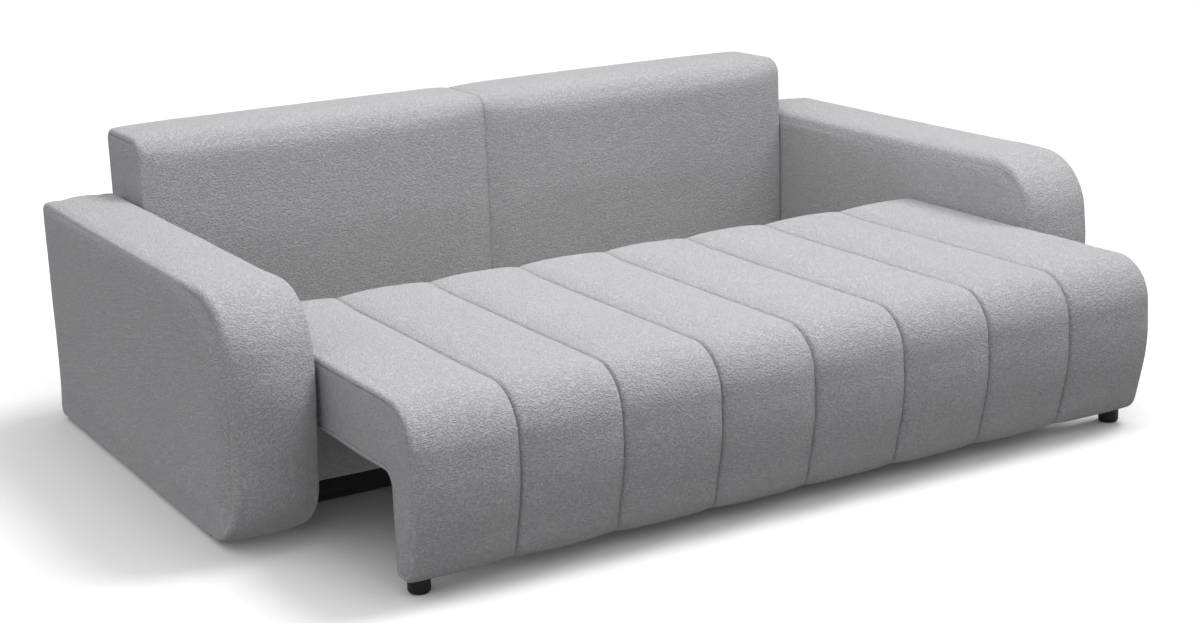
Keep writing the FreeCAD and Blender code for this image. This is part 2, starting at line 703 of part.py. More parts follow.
for x in spread(-x_rail_in / 2, x_rail_in / 2, CROSS_RAILS):
    cross_rails.append(
        block(x - half_rail, x + half_rail, y_header_rear, y_cross_rear, Z_FRAME, Z_DECK)
    )
deck = block(-x_frame, x_frame, y_header_front, y_rear_in, Z_DECK, Z_DECK + DECK)
apron_board = block(
    -x_frame, x_frame, y_board_front, y_header_front, APRON_BOARD_BOTTOM, Z_DECK + DECK
)
z_batten_top = APRON_BOARD_BOTTOM + HEADER_WIDTH
apron_batten = block(
    -x_frame, x_frame, y_header_front, y_header_rear, APRON_BOARD_BOTTOM, z_batten_top
)

# Front feet: round black pads with a rounded lower edge and a threaded stem
Y_FOOT = (y_header_front + y_header_rear) / 2
X_FOOT = SEAT_HALF - SEAT_FOOT_INSET


def seat_foot(x):
    """A round foot under the front corner of the seat."""
    puck = rod(x, Y_FOOT, 0, SEAT_FOOT_RADIUS, APRON_BOTTOM, Z_AXIS)
    sole = [e for e in puck.Edges if e.BoundBox.ZMax < 0.01]
    puck = puck.makeFillet(SEAT_FOOT_EDGE, sole)
    length = APRON_BOARD_BOTTOM + FOOT_STEM_GRIP - APRON_BOTTOM
    stem = rod(x, Y_FOOT, APRON_BOTTOM, FOOT_STEM_RADIUS, length, Z_AXIS)
    return fused([puck, stem])


foot_right = seat_foot(X_FOOT)
foot_left = mirrored(foot_right)
feet = Part.makeCompound([foot_left, foot_right])


# Rollers: each runs in a rail, on an axle held by a flat steel bracket

def roller_bracket():
    """A plate on the inner face of the seat's side rail, down to the axle."""
    half = BRACKET_WIDTH / 2
    head = Z_DECK - RAIL_GAUGE
    neck = SLAB_UNDERSIDE
    tip = BRACKET_TIP_RADIUS
    points = [
        (Y_ROLLER - half, neck),
        (Y_ROLLER - tip, Z_ROLLER),
        (Y_ROLLER - tip, Z_ROLLER - tip),
        (Y_ROLLER + tip, Z_ROLLER - tip),
        (Y_ROLLER + tip, Z_ROLLER),
        (Y_ROLLER + half, neck),
        (Y_ROLLER + half, head),
        (Y_ROLLER - half, head),
    ]
    ring = [Vector(x_rail_in - BRACKET_GAUGE, y, z) for y, z in points]
    plate = Part.Face(Part.makePolygon(ring + ring[:1]))
    plate = plate.extrude(Vector(BRACKET_GAUGE, 0, 0))
    corners = [
        e
        for e in plate.Edges
        if e.BoundBox.ZMax < Z_ROLLER - tip + 0.01 and e.BoundBox.YLength < 0.01
    ]
    return plate.makeFillet(tip * 0.9, corners)


X_TREAD = SIDE_INNER - RAIL_GAUGE - ROLLER_TREAD
X_ROLLER = X_TREAD - ROLLER_WIDTH
bracket = roller_bracket()
axle_from = x_rail_in - BRACKET_GAUGE
axle_length = X_TREAD - axle_from
axle = fused(
    [
        rod(axle_from - AXLE_HEAD, Y_ROLLER, Z_ROLLER, AXLE_HEAD_RADIUS, AXLE_HEAD, X_AXIS),
        rod(axle_from, Y_ROLLER, Z_ROLLER, AXLE_RADIUS, axle_length, X_AXIS),
    ]
)
spacer_length = X_ROLLER - x_rail_in - REST_GAP
spacer = rod(x_rail_in, Y_ROLLER, Z_ROLLER, AXLE_RADIUS + ROLLER_TREAD, spacer_length, X_AXIS)
axle = fused([axle, spacer])
bracket = bracket.cut(rod(axle_from - 1, Y_ROLLER, Z_ROLLER, AXLE_RADIUS, BRACKET_GAUGE + 2, X_AXIS))


def roller():
    """A plastic wheel with a crowned tread and a bore for its axle."""
    bore = AXLE_RADIUS + AXLE_CLEARANCE
    edge = ROLLER_RADIUS - ROLLER_TREAD
    section = [
        (bore, 0),
        (edge, 0),
        (ROLLER_RADIUS, ROLLER_TREAD),
        (ROLLER_RADIUS, ROLLER_WIDTH - ROLLER_TREAD),
        (edge, ROLLER_WIDTH),
        (bore, ROLLER_WIDTH),
    ]
    ring = [Vector(X_ROLLER + x, Y_ROLLER, Z_ROLLER + r) for r, x in section]
    face = Part.Face(Part.makePolygon(ring + ring[:1]))
    return face.revolve(Vector(0, Y_ROLLER, Z_ROLLER), X_AXIS, 360)


wheel = roller()
bracket_bolts = []
for y in (Y_ROLLER - BRACKET_WIDTH / 4, Y_ROLLER + BRACKET_WIDTH / 4):
    for z in (Z_FRAME + RAIL_HEIGHT / 3, Z_FRAME + RAIL_HEIGHT * 2 / 3):
        head = rod(axle_from - BOLT_HEAD, y, z, BOLT_RADIUS + SCREW_RADIUS, BOLT_HEAD, X_AXIS)
        shank = rod(axle_from, y, z, SCREW_RADIUS, BRACKET_GAUGE + RAIL_WIDTH - SCREW_RADIUS, X_AXIS)
        bracket_bolts.append(fused([head, shank]))
bracket_bolts = Part.makeCompound(bracket_bolts)
bracket = bracket.cut(bracket_bolts)
slot_gap = POST_CLEARANCE
slot = block(
    axle_from - slot_gap,
    x_rail_in + slot_gap,
    Y_ROLLER - BRACKET_WIDTH / 2 - slot_gap,
    Y_ROLLER + BRACKET_WIDTH / 2 + slot_gap,
    SLAB_UNDERSIDE - 1,
    Z_FRAME + 1,
)
dust_cover = block(-x_frame, x_frame, y_header_front, y_rear_in, SLAB_UNDERSIDE, Z_FRAME)
dust_cover = dust_cover.cut(slot).cut(mirrored(slot))

cushion = cushion.cut(pocket).cut(apron_board).cut(apron_batten).cut(feet)
pieces["seat_cushion"] = cushion
pieces["seat_dust_cover"] = dust_cover
pieces["seat_deck"] = deck
pieces["seat_side_rail_right"] = side_rail.cut(bracket_bolts)
pieces["seat_side_rail_left"] = mirrored(pieces["seat_side_rail_right"])
pieces["seat_header"] = header
pieces["seat_rear_rail"] = rear_rail
pieces["seat_cross_rails"] = Part.makeCompound(cross_rails)
pieces["apron_board"] = apron_board
pieces["apron_batten"] = apron_batten.cut(feet)
pieces["seat_foot_left"] = foot_left
pieces["seat_foot_right"] = foot_right
for side, turn in (("right", lambda s: s), ("left", mirrored)):
    pieces["roller_bracket_" + side] = turn(bracket)
    pieces["roller_axle_" + side] = turn(axle)
    pieces["seat_roller_" + side] = turn(wheel)
pieces["bracket_bolts"] = both_sides(bracket_bolts.Solids)

for name, shape in pieces.items():
    if not shape.isValid():
        print("INVALID", name)
    shape.exportStep("parts/" + name + ".step")
print(len(pieces), "pieces")
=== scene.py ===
import json
import math

import bpy
from mathutils import Matrix, Vector, noise


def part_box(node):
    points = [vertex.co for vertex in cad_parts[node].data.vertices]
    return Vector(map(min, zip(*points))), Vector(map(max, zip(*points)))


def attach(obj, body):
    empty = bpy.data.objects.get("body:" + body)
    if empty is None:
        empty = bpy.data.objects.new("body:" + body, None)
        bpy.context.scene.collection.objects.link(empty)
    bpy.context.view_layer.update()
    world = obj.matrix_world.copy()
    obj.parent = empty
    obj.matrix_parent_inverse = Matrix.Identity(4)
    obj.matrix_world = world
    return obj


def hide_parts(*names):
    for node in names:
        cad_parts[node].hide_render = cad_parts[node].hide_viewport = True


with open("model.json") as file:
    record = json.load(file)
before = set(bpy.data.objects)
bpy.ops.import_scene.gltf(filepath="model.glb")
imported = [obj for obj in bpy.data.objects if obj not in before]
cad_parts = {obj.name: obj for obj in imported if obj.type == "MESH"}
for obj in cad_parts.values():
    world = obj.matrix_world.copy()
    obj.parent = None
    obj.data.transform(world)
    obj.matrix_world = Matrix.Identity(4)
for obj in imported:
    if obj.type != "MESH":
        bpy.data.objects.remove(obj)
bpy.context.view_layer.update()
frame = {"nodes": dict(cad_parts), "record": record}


# Sizes shared by the upholstered pieces, in metres

HALF_CLEAR = 1.006            # middle of the sofa to the inner face of an armrest
HALF_TOTAL = 1.220
SEAT_HALF = 1.000
BACK_HALF = 1.003
SEAT_TOP = 0.431
SLAB_UNDERSIDE = 0.2565
SEAT_REAR_Y = 0.0585
SEAT_FRONT_Y = -0.9175
APRON_REAR_Y = -0.7935
APRON_BOTTOM = 0.034
ARM_REAR_Y = 0.8395
ARM_FRONT_Y = -0.4705
ARM_TOP = 0.588
ARM_SOLE = 0.0098
BACK_REAR_Y = 0.9175
BACK_FRONT_Y = 0.6535
BACK_TOP = 0.750
BACK_SOLE = 0.1571
CHANNELS = 8
PITCH = 2 * SEAT_HALF / CHANNELS
CHANNEL_CROWN = 0.013         # height of a channel above its seams


def clamp(value):
    return max(0.0, min(1.0, value))


# Outlines in the side view, as (y, z) points

def rounded_outline(corners, radii, arc_steps, run_steps):
    """A closed outline with rounded corners, its points spread the same way for any size."""
    count = len(corners)
    arcs = []
    for i in range(count):
        here = Vector(corners[i])
        to_last = (Vector(corners[i - 1]) - here).normalized()
        to_next = (Vector(corners[(i + 1) % count]) - here).normalized()
        half = to_last.angle(to_next) / 2
        start = here + to_last * (radii[i] / math.tan(half))
        centre = here + (to_last + to_next).normalized() * (radii[i] / math.sin(half))
        arm = start - centre
        turn = math.pi - 2 * half
        if to_last.x * to_next.y - to_last.y * to_next.x > 0:
            turn = -turn
        arc = []
        for k in range(arc_steps[i] + 1):
            angle = turn * k / arc_steps[i]
            c, s = math.cos(angle), math.sin(angle)
            arc.append(centre + Vector((arm.x * c - arm.y * s, arm.x * s + arm.y * c)))
        arcs.append(arc)
    points = []
    for i in range(count):
        points.extend(arcs[i])
        start, end = arcs[i][-1], arcs[(i + 1) % count][0]
        for k in range(1, run_steps[i]):
            points.append(start.lerp(end, k / run_steps[i]))
    return points


def seat_outline(rise, inset=0.0):
    """The L of the seat: rear, top, rounded front, toe, apron's rear and slab's underside."""
    sink = CHANNEL_CROWN - rise
    rear = SEAT_REAR_Y - sink - inset
    top = SEAT_TOP - sink - inset
    front = SEAT_FRONT_Y + sink + inset
    toe = APRON_BOTTOM + inset
    under = SLAB_UNDERSIDE + inset
    apron_rear = APRON_REAR_Y - inset
    corners = [
        (rear, under),
        (rear, top),
        (front + 0.008, top),
        (front, 0.215),
        (front + 0.048, toe),
        (apron_rear, toe),
        (apron_rear, under),
    ]
    radii = [0.008, 0.040, 0.105, 0.420, 0.045, 0.008, 0.028 + inset]
    radii = [max(r - inset, 0.002) for r in radii[:6]] + radii[6:]
    return rounded_outline(
        corners, radii, (3, 6, 14, 8, 7, 3, 5), (5, 38, 5, 5, 2, 9, 24)
    )


def arm_outline(inset=0.0):
    """The D of an armrest: sole, rear, top, rounded front and tucked-in toe."""
    corners = [
        (ARM_REAR_Y - inset, ARM_SOLE + inset),
        (ARM_REAR_Y - inset, ARM_TOP - inset),
        (ARM_FRONT_Y + 0.025 + inset, ARM_TOP - inset),
        (ARM_FRONT_Y + inset, 0.372),
        (ARM_FRONT_Y + 0.042 + inset, ARM_SOLE + inset),
    ]
    radii = [max(r - inset, 0.003) for r in (0.026, 0.026, 0.150, 0.420, 0.150)]
    return rounded_outline(corners, radii, (5, 5, 18, 14, 14), (20, 44, 3, 8, 40))


def back_outline(inset=0.0):
    """The upright back block, its front slightly bellied."""
    mid = (BACK_SOLE + BACK_TOP) / 2
    corners = [
        (BACK_REAR_Y - inset, BACK_SOLE + inset),
        (BACK_REAR_Y - inset, BACK_TOP - inset),
        (BACK_FRONT_Y + 0.008 + inset, BACK_TOP - inset),
        (BACK_FRONT_Y + inset, mid),
        (BACK_FRONT_Y + 0.008 + inset, BACK_SOLE + inset),
    ]
    radii = [max(r - inset, 0.003) for r in (0.020, 0.036, 0.048, 0.900, 0.020)]
    return rounded_outline(corners, radii, (4, 7, 9, 4, 4), (20, 9, 9, 9, 9))


def panel_outline():
    """The padded front of the base box."""
    low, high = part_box("base_front_upholstery")
    corners = [(high.y, low.z), (high.y, high.z), (low.y, high.z), (low.y, low.z)]
    radii = (0.003, 0.003, 0.005, 0.005)
    return rounded_outline(corners, radii, (3, 3, 4, 4), (16, 4, 16, 4))


# Sewing: a cover is a grid of cloth wrapped round a row of outlines and closed at both ends

def leave_edit_mode():
    if bpy.context.object and bpy.context.object.mode == "EDIT":
        bpy.ops.object.mode_set(mode="OBJECT")


def close_end(cover, side):
    """Closes the open end that faces one way along the sofa (-1 left, 1 right)."""
    bpy.ops.object.mode_set(mode="EDIT")
    bpy.ops.mesh.select_mode(type="VERT")
    bpy.ops.mesh.select_all(action="DESELECT")
    bpy.ops.mesh.select_non_manifold(
        extend=False, use_multi_face=False, use_non_contiguous=False
    )
    bpy.ops.object.mode_set(mode="OBJECT")
    xs = [v.co.x for v in cover.data.vertices]
    middle = (min(xs) + max(xs)) / 2
    for vertex in cover.data.vertices:
        if (vertex.co.x - middle) * side < 0:
            vertex.select = False
    bpy.ops.object.mode_set(mode="EDIT")
    bpy.ops.mesh.edge_face_add()
    bpy.ops.mesh.quads_convert_to_tris(quad_method="BEAUTY", ngon_method="BEAUTY")
    bpy.ops.object.mode_set(mode="OBJECT")


def sew_cover(name, rings, seams=()):
    """Wraps a grid of cloth round the rings, each a list of 3-D points, and closes its two ends.

    The rings numbered in seams are marked as stitched.
    """
    leave_edit_mode()
    bpy.ops.object.select_all(action="DESELECT")
    across = len(rings[0]) + 1
    bpy.ops.mesh.primitive_grid_add(
        x_subdivisions=across - 1, y_subdivisions=len(rings) - 1, size=1, location=(0, 0, 0)
    )
    cover = bpy.context.object
    cover.name = name
    for i, vertex in enumerate(cover.data.vertices):
        row, column = divmod(i, across)
        vertex.co = rings[row][column % (across - 1)]
    stitched = cover.vertex_groups.new(name="stitched")
    for row in seams:
        stitched.add(list(range(row * across, (row + 1) * across)), 1.0, "REPLACE")
    bpy.ops.object.mode_set(mode="EDIT")
    bpy.ops.mesh.select_all(action="SELECT")
    bpy.ops.mesh.remove_doubles(threshold=0.00002)
    bpy.ops.object.mode_set(mode="OBJECT")
    close_end(cover, -1)
    close_end(cover, 1)
    bpy.ops.object.mode_set(mode="EDIT")
    bpy.ops.mesh.select_all(action="SELECT")
    bpy.ops.mesh.normals_make_consistent(inside=False)
    bpy.ops.object.mode_set(mode="OBJECT")
    bpy.ops.object.shade_smooth()
    return cover


def hand_of_cloth(cover, depth, spread, seed):
    """Small unevenness that a stuffed cover has: each point moves a little along its normal."""
    moves = []
    for vertex in cover.data.vertices:
        place = Vector(vertex.co)
        drift = noise.noise(place / spread + Vector((seed, 0, 0)))
        drift += 0.45 * noise.noise(place / (spread * 0.36) + Vector((0, seed, 0)))
        moves.append(vertex.normal * (depth * drift))
    for vertex, move in zip(cover.data.vertices, moves):
        vertex.co += move
    cover.data.update()


FOAM_FRAMES = 20              # length of the cloth simulation


def stuff_with_foam(cover, held, pressure, cap):
    """Blows the sewn cover up as cloth, by at most cap metres.

    held(place) is 1 where stitching or a frame holds it, and 0 where it is free.
    """
    pins = cover.vertex_groups["stitched"]
    for vertex in cover.data.vertices:
        pins.add([vertex.index], held(vertex.co), "ADD")
    before = [Vector(v.co) for v in cover.data.vertices]
    cloth = cover.modifiers.new("stuffing", "CLOTH")
    fabric = cloth.settings
    fabric.quality = 4
    fabric.mass = 0.3
    fabric.tension_stiffness = 12
    fabric.compression_stiffness = 12
    fabric.shear_stiffness = 6
    fabric.bending_stiffness = 0.5
    fabric.use_pressure = True
    fabric.uniform_pressure_force = pressure
    fabric.effector_weights.gravity = 0
    fabric.vertex_group_mass = pins.name
    fabric.pin_stiffness = 1.0
    cloth.collision_settings.use_collision = False
    cloth.point_cache.frame_start = 1
    cloth.point_cache.frame_end = FOAM_FRAMES
    scene = bpy.context.scene
    for frame_number in range(1, FOAM_FRAMES + 1):
        scene.frame_set(frame_number)
    blown = cover.evaluated_get(bpy.context.evaluated_depsgraph_get())
    places = [Vector(v.co) for v in blown.data.vertices]
    cover.modifiers.remove(cloth)
    scene.frame_set(1)
    for vertex, start, end in zip(cover.data.vertices, before, places):
        move = end - start
        if move.length > 0.00001:
            move *= cap * math.tanh(move.length / cap) / move.length
        vertex.co = start + move
    cover.data.update()


def rolled_end(half, radius, steps):
    """(x, inset) pairs that roll the end of a cover over a quarter round, out to x = half."""
    pairs = [(half - radius, 0.0)]
    for k in range(1, steps + 1):
        angle = math.pi / 2 * k / steps
        pairs.append((half - radius + radius * math.sin(angle), radius * (1 - math.cos(angle))))
    return pairs


def at_x(x, outline):
    return [Vector((x, p.x, p.y)) for p in outline]


# Seat: eight channels sewn over the slab and down the front

# where the rings lie across a channel, as shares of its width: close together at the seams
SEAM_STEPS = (0.0, 0.007, 0.018, 0.034, 0.058, 0.09, 0.13, 0.18, 0.25, 0.33, 0.415, 0.5)
CHANNEL_SHARES = list(SEAM_STEPS) + [1 - s for s in SEAM_STEPS[-2::-1]]
SEAM_PULL = 0.0075            # how deep the stitches draw a seam in
SEAM_PULL_FROM = 0.96         # where that begins, from the channel's middle (0) to its seam (1)
SEAT_EDGE = 0.011             # radius at the side panels
SIDE_CROWN = 0.75             # share of the crown left at the side panels
REAR_CROWN = 0.78             # share of the crown that the rear edge is closed at
REAR_CLOSING = 0.6            # how far the channels come to it
REAR_START, REAR_RUN = 0.16, 0.13   # distance from the rear edge where that starts, and its length


def channel_rise(share):
    """Height of a channel above its seam line; the stitched seam itself pulls in deeper."""
    u = abs(2 * share - 1)
    pull = max(0.0, (u - SEAM_PULL_FROM) / (1 - SEAM_PULL_FROM)) ** 1.3
    return CHANNEL_CROWN * (1 - u ** 2.7) ** 0.85 - SEAM_PULL * pull


def seat_rings():
    """From the left side panel, over the eight channels, to the right one."""
    closed = seat_outline(REAR_CROWN * CHANNEL_CROWN)
    rings = []
    for i in range(CHANNELS):
        for share in CHANNEL_SHARES:
            outer = {0: 1 - share, CHANNELS - 1: share}.get(i, 0)
            x = -SEAT_HALF + (i + share) * PITCH
            if abs(x) > SEAT_HALF - SEAT_EDGE - 0.002 or (share == 0.0 and i > 0):
                continue
            rise = channel_rise(share)
            if outer > 0.5:
                drop = ((outer - 0.5) / 0.5) ** 2.2
                rise = CHANNEL_CROWN * (1 - (1 - SIDE_CROWN) * drop)
            ring = []
            for full, level in zip(seat_outline(rise), closed):
                # the channels flatten towards the rear edge, where they are closed
                closing = clamp((full.x - SEAT_REAR_Y + REAR_START) / REAR_RUN)
                ring.append(full.lerp(level, REAR_CLOSING * closing))
            rings.append(at_x(x, ring))
    edge_rise = CHANNEL_CROWN * SIDE_CROWN
    ends = rolled_end(SEAT_HALF, SEAT_EDGE, 6) + [
        (SEAT_HALF - 0.0010, SEAT_EDGE + 0.0014),
        (SEAT_HALF - 0.0030, SEAT_EDGE + 0.0026),
        (SEAT_HALF - 0.0012, SEAT_EDGE + 0.0040),
        (SEAT_HALF - 0.0002, SEAT_EDGE + 0.0070),
        (SEAT_HALF + 0.0004, SEAT_EDGE + 0.0120),
    ]
    right = [at_x(x, seat_outline(edge_rise, inn)) for x, inn in ends]
    left = [at_x(-x, seat_outline(edge_rise, inn)) for x, inn in reversed(ends)]
    return left + rings + right


seat = sew_cover("seat_cover", seat_rings())


def seat_held(place):
    """Stitched at the seams and the side panels, and glued to the slab below and behind."""
    share = (place.x + SEAT_HALF) / PITCH
    off_seam = abs(share - round(share)) * PITCH
    if abs(place.x) > SEAT_HALF - 0.030:
        return 1.0
    on_frame = place.z < SLAB_UNDERSIDE + 0.02 and place.y > SEAT_FRONT_Y + 0.085
    if on_frame or place.z < APRON_BOTTOM + 0.015:
        return 1.0
    return clamp(1.0 - (off_seam - 0.003) / 0.012)


stuff_with_foam(seat, seat_held, 16.0, 0.0030)
hand_of_cloth(seat, 0.0016, 0.16, 3.1)


# Armrests: a padded band between two flat side panels

BAND_STEPS = (0.0, 0.05, 0.12, 0.22, 0.36, 0.5, 0.64, 0.78, 0.88, 0.95, 1.0)
SEAM_WALK = (0.0, 0.18, 0.36, 0.53, 0.69, 0.83, 0.93, 1.0)

# past the seam, into the panel: (how far in, share of the seam's depth still left)
PANEL_WALK = (
    (0.0010, 1.00), (0.0026, 0.88), (0.0055, 0.77), (0.0100, 0.66), (0.0160, 0.54),
    (0.0240, 0.41), (0.0340, 0.27), (0.0480, 0.13), (0.0660, 0.03), (0.0880, -0.03),
)
CLOSING_STEPS = (0.28, 0.56, 0.80)          # from there towards the panel's centre
DEEPEST_INSET = 0.115

# edge radius and seam depth: (along the straight runs, what the rounded front adds)
OUTER_RADIUS, OUTER_DEPTH = (0.010, 0.019), (0.0045, 0.0095)
INNER_RADIUS, INNER_DEPTH = (0.026, -0.008), (0.0036, 0.0010)

# the rings on either side of the stitches, counted from the middle of the inner panel
INNER_RINGS = len(CLOSING_STEPS) + len(PANEL_WALK)
OUTER_RINGS = INNER_RINGS + 2 * len(SEAM_WALK) + len(BAND_STEPS) - 2
BAND_SEAMS = (INNER_RINGS - 1, INNER_RINGS, OUTER_RINGS - 1, OUTER_RINGS)


def front_share(point):
    """1 on the rounded front of the armrest, fading to 0 along the top and the sole."""
    along = (point.x - ARM_FRONT_Y - 0.055) / 0.20
    low = (point.y - ARM_SOLE) / 0.09
    share = clamp(1.0 - along) * clamp(low)
    return share * share * (3 - 2 * share)


def arm_rings():
    """Rings of the right-hand armrest, from its inner panel to its outer panel."""
    half = (HALF_TOTAL - HALF_CLEAR) / 2
    middle = (HALF_TOTAL + HALF_CLEAR) / 2
    rim = arm_outline()
    front = [front_share(p) for p in rim]
    belly = [f * math.sin(math.pi * clamp(p.y / 0.56)) for f, p in zip(front, rim)]
    # the seam gets shallower towards the sole, where the cloth is stapled
    hem = [0.2 + 0.8 * clamp((p.y - ARM_SOLE - 0.01) / 0.06) for p in rim]
    drawn = {}

    def at_inset(j, inset):
        key = round(inset, 4)
        if key not in drawn:
            drawn[key] = arm_outline(key)
        return drawn[key][j]

    def side_rings(side, edge_radius, seam_depth):
        """From the band's flat part over the edge, across the seam, to the panel's middle."""
        radius = [edge_radius[0] + edge_radius[1] * f for f in front]
        depth = [(seam_depth[0] + seam_depth[1] * f) * h for f, h in zip(front, hem)]
        rings = []
        for walk in SEAM_WALK:
            ring = []
            for j in range(len(rim)):
                angle = walk * math.pi / 2
                reach = half - radius[j] + (radius[j] - 0.55 * depth[j]) * math.sin(angle)
                reach -= 0.45 * depth[j] * walk ** 6
                point = at_inset(j, radius[j] * (1 - math.cos(angle)))
                ring.append(Vector((middle + side * reach, point.x, point.y)))
            rings.append(ring)
        for inn, left in PANEL_WALK:
            ring = []
            for j in range(len(rim)):
                point = at_inset(j, min(radius[j] + inn, DEEPEST_INSET))
                ring.append(Vector((middle + side * (half - depth[j] * left), point.x, point.y)))
            rings.append(ring)
        last = rings[-1]
        centre = sum(last, Vector()) / len(last)
        centre.x = last[0].x
        for share in CLOSING_STEPS:
            rings.append([point.lerp(centre, share) for point in last])
        return rings

    band = []
    inner = side_rings(-1, INNER_RADIUS, INNER_DEPTH)
    outer = side_rings(1, OUTER_RADIUS, OUTER_DEPTH)
    for step in BAND_STEPS[1:-1]:
        swell = 1 - (2 * step - 1) ** 2
        ring = []
        for j in range(len(rim)):
            x = inner[0][j].x + (outer[0][j].x - inner[0][j].x) * step
            point = at_inset(j, -swell * (0.0060 + 0.0200 * belly[j]))
            ring.append(Vector((x, point.x, point.y)))
        band.append(ring)
    return list(reversed(inner)) + band + outer


def mirror_cover(cover, name):
    """The same cover for the other side of the sofa, with a mesh of its own."""
    twin = cover.copy()
    twin.data = cover.data.copy()
    twin.name = name
    bpy.context.collection.objects.link(twin)
    twin.data.transform(Matrix.Scale(-1, 4, (1, 0, 0)))
    twin.data.flip_normals()
    return twin


arm_right = sew_cover("armrest_cover_right", arm_rings(), seams=BAND_SEAMS)


def arm_held(place):
    """Stapled under the sole; everything else is free between its seams."""
    return clamp(1.0 - (place.z - ARM_SOLE - 0.004) / 0.10)


stuff_with_foam(arm_right, arm_held, 2.5, 0.0030)
arm_left = mirror_cover(arm_right, "armrest_cover_left")
for arm, seed in ((arm_right, 7.3), (arm_left, 12.9)):
    hand_of_cloth(arm, 0.0014, 0.22, seed)


# Back block: one seam down the middle, flat ends

BACK_EDGE = 0.013             # radius at the ends
BACK_CROWN = 0.0030           # swell of each half between the seam and the end

# where the rings lie: metres from the middle seam, then shares of the way in from the end
BACK_SEAM_STEPS = (0.0, 0.0012, 0.0026, 0.0050, 0.0090, 0.0160, 0.0280)
BACK_SHARES = (0.02, 0.05, 0.10, 0.17, 0.26, 0.36, 0.46, 0.56, 0.66, 0.76, 0.85, 0.92, 0.965)


def back_rings():
    """From the left end, over the middle seam, to the right end."""
    ends = rolled_end(BACK_HALF, BACK_EDGE, 5) + [
        (BACK_HALF, BACK_EDGE + 0.0020),
        (BACK_HALF - 0.0024, BACK_EDGE + 0.0042),
        (BACK_HALF - 0.0004, BACK_EDGE + 0.0070),
        (BACK_HALF + 0.0004, BACK_EDGE + 0.0160),
        (BACK_HALF + 0.0012, BACK_EDGE + 0.0400),
        (BACK_HALF + 0.0016, BACK_EDGE + 0.0800),
        (BACK_HALF + 0.0018, BACK_EDGE + 0.1050),
    ]
    inner = BACK_HALF - BACK_EDGE
    rings = [at_x(-x, back_outline(inn)) for x, inn in reversed(ends)]
    half = []
    for x in BACK_SEAM_STEPS:
        dip = 0.0046 * math.exp(-(x / 0.0020) ** 2) + 0.0026 * math.exp(-x / 0.018)
        half.append((x, dip))
    for share in reversed(BACK_SHARES):
        x = inner * (1 - share)
        crown = BACK_CROWN * math.sin(math.pi * share) ** 0.8
        if x > 0.030:
            half.append((x, -crown + 0.0026 * math.exp(-x / 0.018)))
    for x, inset in reversed(half):
        rings.append(at_x(-x, back_outline(inset)))
    for x, inset in half[1:]:
        rings.append(at_x(x, back_outline(inset)))
    rings += [at_x(x, back_outline(inn)) for x, inn in ends]
    return rings


back = sew_cover("backrest_cover", back_rings())


def back_held(place):
    """Stitched down the middle and at both ends, and stretched over the rear panel and the sole."""
    if place.y > BACK_REAR_Y - 0.004 or place.z < BACK_SOLE + 0.008:
        return 1.0
    middle = 1.0 - (abs(place.x) - 0.002) / 0.010
    end = 1.0 - (BACK_HALF - 0.016 - abs(place.x)) / 0.010
    return clamp(max(middle, end))


stuff_with_foam(back, back_held, 6.0, 0.006)
hand_of_cloth(back, 0.0016, 0.30, 21.7)


POST_ROOM = 0.004             # clear space round a post


def open_for_posts(cover):
    """Leaves the underside open where the two lifting posts slide in and out."""
    posts = [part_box("backrest_post_left"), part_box("backrest_post_right")]
    leave_edit_mode()
    bpy.ops.object.select_all(action="DESELECT")
    bpy.context.view_layer.objects.active = cover
    cover.select_set(True)
    bpy.ops.object.mode_set(mode="EDIT")
    bpy.ops.mesh.select_mode(type="FACE")
    bpy.ops.mesh.select_all(action="DESELECT")
    bpy.ops.object.mode_set(mode="OBJECT")
    points = cover.data.vertices
    for face in cover.data.polygons:
        corners = [points[i].co for i in face.vertices]
        if max(c.z for c in corners) > BACK_SOLE + 0.006:
            continue
        xs, ys = [c.x for c in corners], [c.y for c in corners]
        for low, high in posts:
            across = min(xs) < high.x + POST_ROOM and max(xs) > low.x - POST_ROOM
            along = min(ys) < high.y + POST_ROOM and max(ys) > low.y - POST_ROOM
            if across and along:
                face.select = True
    bpy.ops.object.mode_set(mode="EDIT")
    bpy.ops.mesh.delete(type="FACE")
    bpy.ops.object.mode_set(mode="OBJECT")


open_for_posts(back)


# Padded front of the base box

PANEL_STEPS = 40


def panel_rings():
    low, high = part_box("base_front_upholstery")
    width = high.x - low.x
    return [
        at_x(low.x + width * k / PANEL_STEPS, panel_outline()) for k in range(PANEL_STEPS + 1)
    ]


panel = sew_cover("base_front_cover", panel_rings())
hand_of_cloth(panel, 0.0010, 0.20, 33.0)


# Materials

def new_material(name, colour, roughness):
    material = bpy.data.materials.new(name)
    material.use_nodes = True
    shader = material.node_tree.nodes["Principled BSDF"]
    shader.inputs["Base Color"].default_value = (*colour, 1)
    shader.inputs["Roughness"].default_value = roughness
    return material, material.node_tree.nodes, material.node_tree.links, shader


def add(nodes, kind, **values):
    node = nodes.new(kind)
    for key, value in values.items():
        if key in node.inputs:
            node.inputs[key].default_value = value
        else:
            setattr(node, key, value)
    return node


def noise_on(nodes, links, place, **values):
    """A noise texture that is looked up at a place."""
    texture = add(nodes, "ShaderNodeTexNoise", **values)
    links.new(place, texture.inputs["Vector"])
    return texture.outputs


def maths(nodes, links, operation, *terms):
    """A math node over a few terms, each a number or the output of a node."""
    node = add(nodes, "ShaderNodeMath", operation=operation)
    for socket, term in zip(node.inputs, terms):
        if isinstance(term, float):
            socket.default_value = term
        else:
            links.new(term, socket)
    return node.outputs[0]


